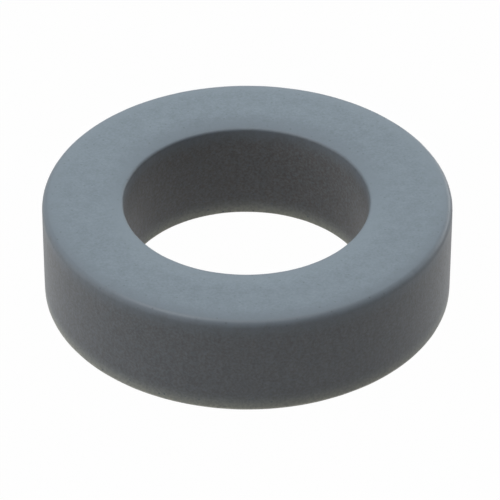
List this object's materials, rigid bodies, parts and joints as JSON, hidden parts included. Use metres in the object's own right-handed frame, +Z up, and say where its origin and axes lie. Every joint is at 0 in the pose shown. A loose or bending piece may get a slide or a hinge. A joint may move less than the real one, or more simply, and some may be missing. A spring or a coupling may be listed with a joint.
{
  "type": "toroidal ferrite core",
  "caption": "Plain round ferrite ring for winding chokes and transformers: flat faces, straight walls and tumbled edges around an open bore.",
  "frame": {"origin": "middle of the ring's underside, on the axis of the bore", "axes": "+Z up along the axis of the bore, from the underside to the top face; the ring is the same all round, so +X and +Y are any two directions at right angles in the plane of the underside"},
  "size_m": [0.025, 0.025, 0.0069],
  "materials": {
    "sintered_ferrite": "matte"
  },
  "bodies": {
    "root": {"ferrite_core": "sintered_ferrite"}
  },
  "joints": []
}
